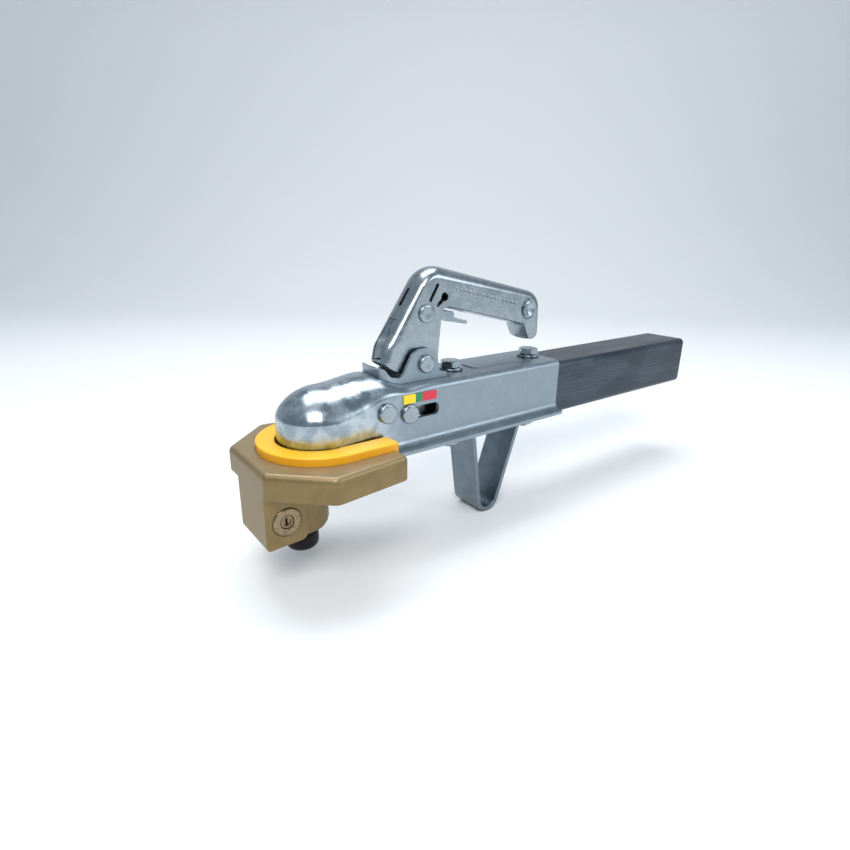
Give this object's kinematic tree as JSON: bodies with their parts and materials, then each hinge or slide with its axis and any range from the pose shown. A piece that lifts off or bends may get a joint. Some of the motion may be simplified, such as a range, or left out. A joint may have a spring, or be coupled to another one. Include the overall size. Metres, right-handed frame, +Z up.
{
  "type": "trailer coupler lock",
  "caption": "Key-operated lock closed under a pressed-steel ball coupling head with lift handle, bolted to a square drawbar that has a strip-steel support stand.",
  "frame": {"origin": "centre of the coupling head's ball seat", "axes": "+X back along the drawbar towards the trailer, +Z up, -Y the side that the key goes in from"},
  "size_m": [0.614, 0.1562, 0.2667],
  "materials": {
    "bright_zinc": "bright zinc plating, almost mirror smooth",
    "zinc": "zinc plated pressed steel, satin",
    "dull_zinc": "dull zinc plated strip",
    "galvanised": "dark galvanised tube",
    "plain_steel": "plain machined steel",
    "bronze_casting": "satin bronze metallic coat over a casting",
    "yellow_plastic": "smooth yellow plastic, slight gloss",
    "black_plastic": "black moulded plastic",
    "label": "printed sticker in three plain colour bands"
  },
  "bodies": {
    "drawbar": {"coupling_head": "bright_zinc", "handle_bracket": "bright_zinc", "claw_pivot_rivet": "zinc", "handle_pivot_rivet": "zinc", "wear_label": "label", "drawbar_tube": "galvanised", "support_stand": "dull_zinc", "closing_spring": "plain_steel", "clamp_bolt_front": "zinc", "clamp_washer_front": "zinc", "clamp_nut_front": "zinc", "clamp_bolt_rear": "zinc", "clamp_washer_rear": "zinc", "clamp_nut_rear": "zinc"},
    "handle": {"handle_shell_near": "zinc", "handle_shell_far": "zinc", "trigger_rivet": "zinc", "grip_end_rivet": "zinc"},
    "trigger": {"trigger_lever": "dull_zinc"},
    "claw": {"ball_claw": "plain_steel"},
    "draw_link": {"indicator_pin": "zinc", "draw_yoke": "plain_steel"},
    "lock": {"lock_casting": "bronze_casting", "guard_ring": "yellow_plastic", "dummy_ball": "plain_steel", "ball_cross_pin": "plain_steel", "lock_barrel": "bronze_casting"},
    "plug": {"key_plug": "bronze_casting"},
    "bolt": {"lock_bolt": "plain_steel"},
    "spindle": {"cam_spindle": "plain_steel", "foot_cap": "black_plastic"}
  },
  "joints": [
    {"name": "handle_lift", "type": "hinge", "parent": "drawbar", "child": "handle", "pos_m": [0.101, 0, 0.039], "axis": [0, -1, 0], "range_deg": [0, 50]},
    {"name": "trigger_squeeze", "type": "hinge", "parent": "handle", "child": "trigger", "pos_m": [0.1055, 0, 0.084], "axis": [0, -1, 0], "range_deg": [0, 7], "stiffness_Nm_per_rad": 0.4, "springref_deg": -11.46},
    {"name": "claw_swing", "type": "hinge", "parent": "drawbar", "child": "claw", "pos_m": [0.0483, 0, 0.004], "axis": [0, -1, 0], "range_deg": [0, 20]},
    {"name": "link_slide", "type": "slide", "parent": "drawbar", "child": "draw_link", "axis": [1, 0, 0], "range_m": [0, 0.028], "stiffness_N_per_m": 600, "springref_m": -0.02, "deforming": ["closing_spring"]},
    {"name": "lock_drop", "type": "slide", "parent": "drawbar", "child": "lock", "axis": [0, 0, -1], "range_m": [0, 0.065]},
    {"name": "key_turn", "type": "hinge", "parent": "lock", "child": "plug", "pos_m": [-0.0505, 0, -0.0705], "axis": [0, -1, 0], "range_deg": [0, 90]},
    {"name": "bolt_slide", "type": "slide", "parent": "lock", "child": "bolt", "axis": [-1, 0, 0], "range_m": [0, 0.008]},
    {"name": "spindle_turn", "type": "hinge", "parent": "lock", "child": "spindle", "pos_m": [-0.023, 0, -0.098], "axis": [0, 0, 1], "range_deg": [0, 90]}
  ],
  "couplings": [
    {"joint": "claw_swing", "follows": "handle_lift", "ratio": 0.4},
    {"joint": "link_slide", "follows": "handle_lift", "m_per_rad": 0.03208},
    {"joint": "key_turn", "follows": "bolt_slide", "rad_per_m": 196.35}
  ]
}
